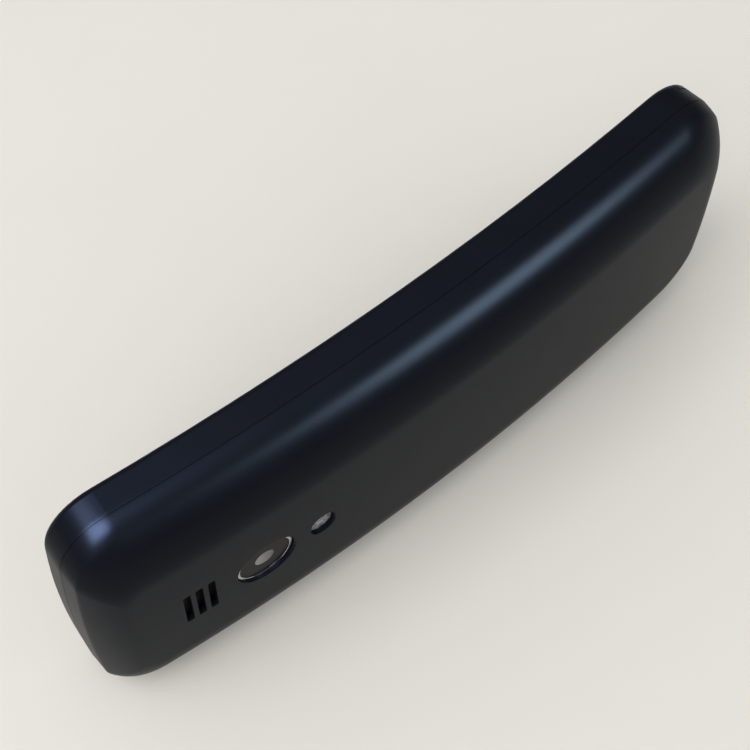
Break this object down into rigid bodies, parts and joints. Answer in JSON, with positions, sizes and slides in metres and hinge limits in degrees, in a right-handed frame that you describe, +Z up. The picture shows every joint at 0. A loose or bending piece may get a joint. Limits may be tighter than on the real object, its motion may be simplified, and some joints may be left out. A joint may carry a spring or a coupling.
{
  "type": "mobile phone",
  "caption": "Curved candy-bar mobile phone with a keypad under a slide, a deep removable back cover, a rear camera with a lamp, and loudspeaker slots.",
  "frame": {"origin": "bottom centre of the bounding box, with the phone standing on its long right-hand side as it was pictured", "axes": "+X along the length to the camera end, +Y out of the convex back, +Z up across the width, to the phone's left-hand side"},
  "size_m": [0.1338, 0.0181, 0.05],
  "materials": {
    "case_plastic": "satin soft-touch moulding",
    "ring_metal": "turned and anodised",
    "dark_window": "tinted clear acrylic",
    "clear_lens": "clear, moulded facets",
    "mesh": "woven black mesh",
    "key_plastic": "fine satin moulding",
    "steel": "stamped sheet",
    "screen": "display panel",
    "inner_plastic": "moulded, unpainted",
    "board": "green solder resist",
    "foil": "polyester foil",
    "gold": "gold-plated contact",
    "battery_wrap": "printed film over a metal can",
    "card": "card plastic",
    "lens_glass": "coated lens",
    "lamp": "lamp with phosphor"
  },
  "bodies": {
    "phone": {"front_frame": "case_plastic", "display_window": "dark_window", "display_module": "screen", "earpiece": "inner_plastic", "earpiece_mesh": "mesh", "slide_springs": "steel", "dome_sheet": "foil", "keypad_board": "board", "main_board": "board", "lower_board": "board", "shield_cans": "steel", "camera_module": "inner_plastic", "camera_lens": "lens_glass", "flash_led": "lamp", "flash_guide": "clear_lens", "sim_holder": "steel", "sim_card": "card", "contact_block": "inner_plastic", "battery_contacts": "gold", "antenna": "gold", "loudspeaker": "inner_plastic", "vibration_motor": "steel", "microphone": "steel", "usb_socket": "steel", "headphone_jack": "inner_plastic", "inner_housing": "inner_plastic", "housing_screws": "steel"},
    "cover": {"back_cover": "case_plastic", "camera_ring": "ring_metal", "camera_window": "dark_window", "flash_lens": "clear_lens", "speaker_mesh": "mesh"},
    "battery_pack": {"battery": "battery_wrap"},
    "slide": {"slide_cover": "case_plastic", "slide_plate": "steel"},
    "soft_key_left_body": {"soft_key_left": "key_plastic"},
    "soft_key_right_body": {"soft_key_right": "key_plastic"},
    "call_key_body": {"call_key": "key_plastic"},
    "end_key_body": {"end_key": "key_plastic"},
    "navigation_ring_body": {"navigation_ring": "key_plastic"},
    "select_key_body": {"select_key": "key_plastic"},
    "key_1_body": {"key_1": "key_plastic"},
    "key_2_body": {"key_2": "key_plastic"},
    "key_3_body": {"key_3": "key_plastic"},
    "key_4_body": {"key_4": "key_plastic"},
    "key_5_body": {"key_5": "key_plastic"},
    "key_6_body": {"key_6": "key_plastic"},
    "key_7_body": {"key_7": "key_plastic"},
    "key_8_body": {"key_8": "key_plastic"},
    "key_9_body": {"key_9": "key_plastic"},
    "key_star_body": {"key_star": "key_plastic"},
    "key_0_body": {"key_0": "key_plastic"},
    "key_hash_body": {"key_hash": "key_plastic"}
  },
  "joints": [
    {"name": "slide_open", "type": "hinge", "parent": "phone", "child": "slide", "pos_m": [0, -0.6356, 0.025], "axis": [0, 0, 1], "range_deg": [0, 3.64]},
    {"name": "cover_lift", "type": "slide", "parent": "phone", "child": "cover", "axis": [0, 1, 0], "range_m": [0, 0.02]},
    {"name": "battery_lift", "type": "slide", "parent": "phone", "child": "battery_pack", "axis": [-0.0159, 0.9999, 0], "range_m": [0, 0.01]},
    {"name": "soft_press_left", "type": "slide", "parent": "phone", "child": "soft_key_left_body", "axis": [0.0136, 0.9999, 0], "range_m": [0, 0.00025], "stiffness_N_per_m": 5000},
    {"name": "soft_press_right", "type": "slide", "parent": "phone", "child": "soft_key_right_body", "axis": [0.0136, 0.9999, 0], "range_m": [0, 0.00025], "stiffness_N_per_m": 5000},
    {"name": "call_press", "type": "slide", "parent": "phone", "child": "call_key_body", "axis": [0.0032, 1, 0], "range_m": [0, 0.00025], "stiffness_N_per_m": 5000},
    {"name": "end_press", "type": "slide", "parent": "phone", "child": "end_key_body", "axis": [0.0032, 1, 0], "range_m": [0, 0.00025], "stiffness_N_per_m": 5000},
    {"name": "navigation_press", "type": "slide", "parent": "phone", "child": "navigation_ring_body", "axis": [0.0084, 1, 0], "range_m": [0, 0.00025], "stiffness_N_per_m": 5000},
    {"name": "select_press", "type": "slide", "parent": "phone", "child": "select_key_body", "axis": [0.0084, 1, 0], "range_m": [0, 0.00025], "stiffness_N_per_m": 5000},
    {"name": "press_1", "type": "slide", "parent": "phone", "child": "key_1_body", "axis": [-0.0075, 1, 0], "range_m": [0, 0.00025], "stiffness_N_per_m": 5000},
    {"name": "press_2", "type": "slide", "parent": "phone", "child": "key_2_body", "axis": [-0.0075, 1, 0], "range_m": [0, 0.00025], "stiffness_N_per_m": 5000},
    {"name": "press_3", "type": "slide", "parent": "phone", "child": "key_3_body", "axis": [-0.0075, 1, 0], "range_m": [0, 0.00025], "stiffness_N_per_m": 5000},
    {"name": "press_4", "type": "slide", "parent": "phone", "child": "key_4_body", "axis": [-0.0176, 0.9998, 0], "range_m": [0, 0.00025], "stiffness_N_per_m": 5000},
    {"name": "press_5", "type": "slide", "parent": "phone", "child": "key_5_body", "axis": [-0.0176, 0.9998, 0], "range_m": [0, 0.00025], "stiffness_N_per_m": 5000},
    {"name": "press_6", "type": "slide", "parent": "phone", "child": "key_6_body", "axis": [-0.0176, 0.9998, 0], "range_m": [0, 0.00025], "stiffness_N_per_m": 5000},
    {"name": "press_7", "type": "slide", "parent": "phone", "child": "key_7_body", "axis": [-0.0278, 0.9996, 0], "range_m": [0, 0.00025], "stiffness_N_per_m": 5000},
    {"name": "press_8", "type": "slide", "parent": "phone", "child": "key_8_body", "axis": [-0.0278, 0.9996, 0], "range_m": [0, 0.00025], "stiffness_N_per_m": 5000},
    {"name": "press_9", "type": "slide", "parent": "phone", "child": "key_9_body", "axis": [-0.0278, 0.9996, 0], "range_m": [0, 0.00025], "stiffness_N_per_m": 5000},
    {"name": "press_star", "type": "slide", "parent": "phone", "child": "key_star_body", "axis": [-0.0379, 0.9993, 0], "range_m": [0, 0.00025], "stiffness_N_per_m": 5000},
    {"name": "press_0", "type": "slide", "parent": "phone", "child": "key_0_body", "axis": [-0.0379, 0.9993, 0], "range_m": [0, 0.00025], "stiffness_N_per_m": 5000},
    {"name": "press_hash", "type": "slide", "parent": "phone", "child": "key_hash_body", "axis": [-0.0379, 0.9993, 0], "range_m": [0, 0.00025], "stiffness_N_per_m": 5000}
  ],
  "couplings": [
    {"joint": "battery_lift", "follows": "cover_lift", "ratio": 0.5}
  ]
}
